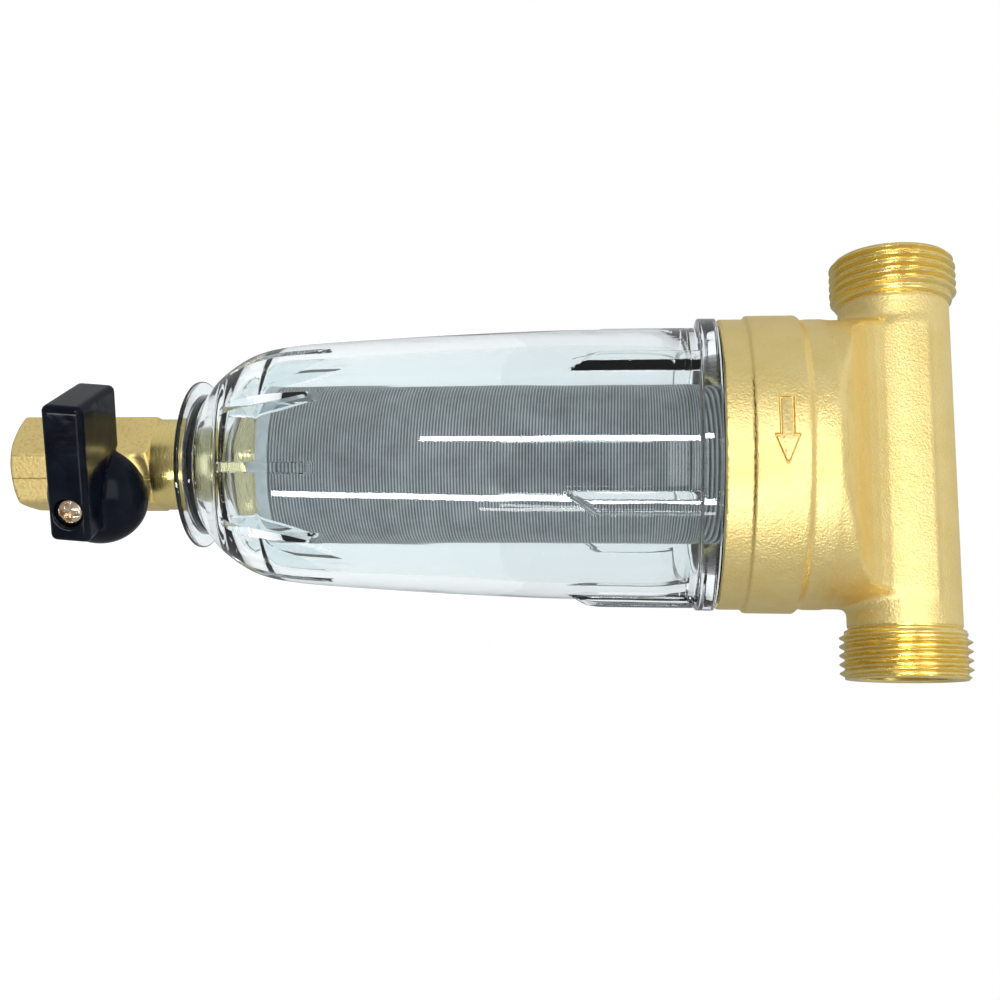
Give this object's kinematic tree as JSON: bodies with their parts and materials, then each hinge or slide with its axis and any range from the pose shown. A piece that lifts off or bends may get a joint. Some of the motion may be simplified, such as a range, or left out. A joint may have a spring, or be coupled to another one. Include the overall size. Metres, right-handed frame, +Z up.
{
  "type": "flushable water filter",
  "caption": "T-shaped brass filter head with male pipe threads, clear screw-on bowl hanging below it, woven screen cartridge inside and a quarter-turn drain valve.",
  "frame": {"origin": "crossing of the pipe axis and the bowl axis, in the middle of the brass head", "axes": "+X along the pipe in the direction of flow, +Z up along the bowl axis (the bowl hangs towards -Z), the flow arrow is on the -Y side"},
  "size_m": [0.1124, 0.0875, 0.2551],
  "materials": {
    "cast_brass": "satin, sand cast and tumbled",
    "forged_brass": "satin, grainy, forged",
    "turned_brass": "bright, turned",
    "clear_plastic": "clear, polished",
    "collar_plastic": "translucent grey",
    "cage_plastic": "satin",
    "steel_mesh": "woven stainless steel",
    "seal_rubber": "matt",
    "washer_fibre": "matt",
    "seat_ptfe": "waxy",
    "handle_plastic": "high gloss, near black",
    "screw_steel": "plated, bright",
    "ball_chrome": "polished"
  },
  "bodies": {
    "head": {"head_casting": "cast_brass", "screen_mesh": "steel_mesh", "screen_cage": "cage_plastic", "screen_top_collar": "collar_plastic", "screen_collar_seal": "seal_rubber", "screen_end_cap": "collar_plastic"},
    "seal_ring": {"bowl_seal": "seal_rubber"},
    "bowl": {"bowl": "clear_plastic", "drain_seal_thick": "seal_rubber", "drain_seal_thin": "seal_rubber", "locknut_washer": "washer_fibre", "drain_locknut": "turned_brass", "valve_body": "forged_brass", "ball_seat_upper": "seat_ptfe", "ball_seat_lower": "seat_ptfe", "seat_retainer": "turned_brass", "stem_thrust_washer": "seat_ptfe"},
    "handle": {"valve_handle": "handle_plastic", "handle_screw": "screw_steel", "screw_washer": "screw_steel", "valve_stem": "turned_brass", "stem_seal_inner": "seal_rubber", "stem_seal_outer": "seal_rubber", "valve_ball": "ball_chrome"}
  },
  "joints": [
    {"name": "bowl_drop", "type": "slide", "parent": "head", "child": "seal_ring", "axis": [0, 0, -1], "range_m": [0, 0.0121]},
    {"name": "bowl_unscrew", "type": "hinge", "parent": "seal_ring", "child": "bowl", "pos_m": [0, 0, -0.0463], "axis": [0, 0, -1], "range_deg": [0, 1080]},
    {"name": "handle_turn", "type": "hinge", "parent": "bowl", "child": "handle", "pos_m": [0, 0, -0.211], "axis": [0.515, -0.8572, 0], "range_deg": [0, 90]}
  ],
  "couplings": [
    {"joint": "bowl_drop", "follows": "bowl_unscrew", "m_per_rad": 0.00063662}
  ]
}
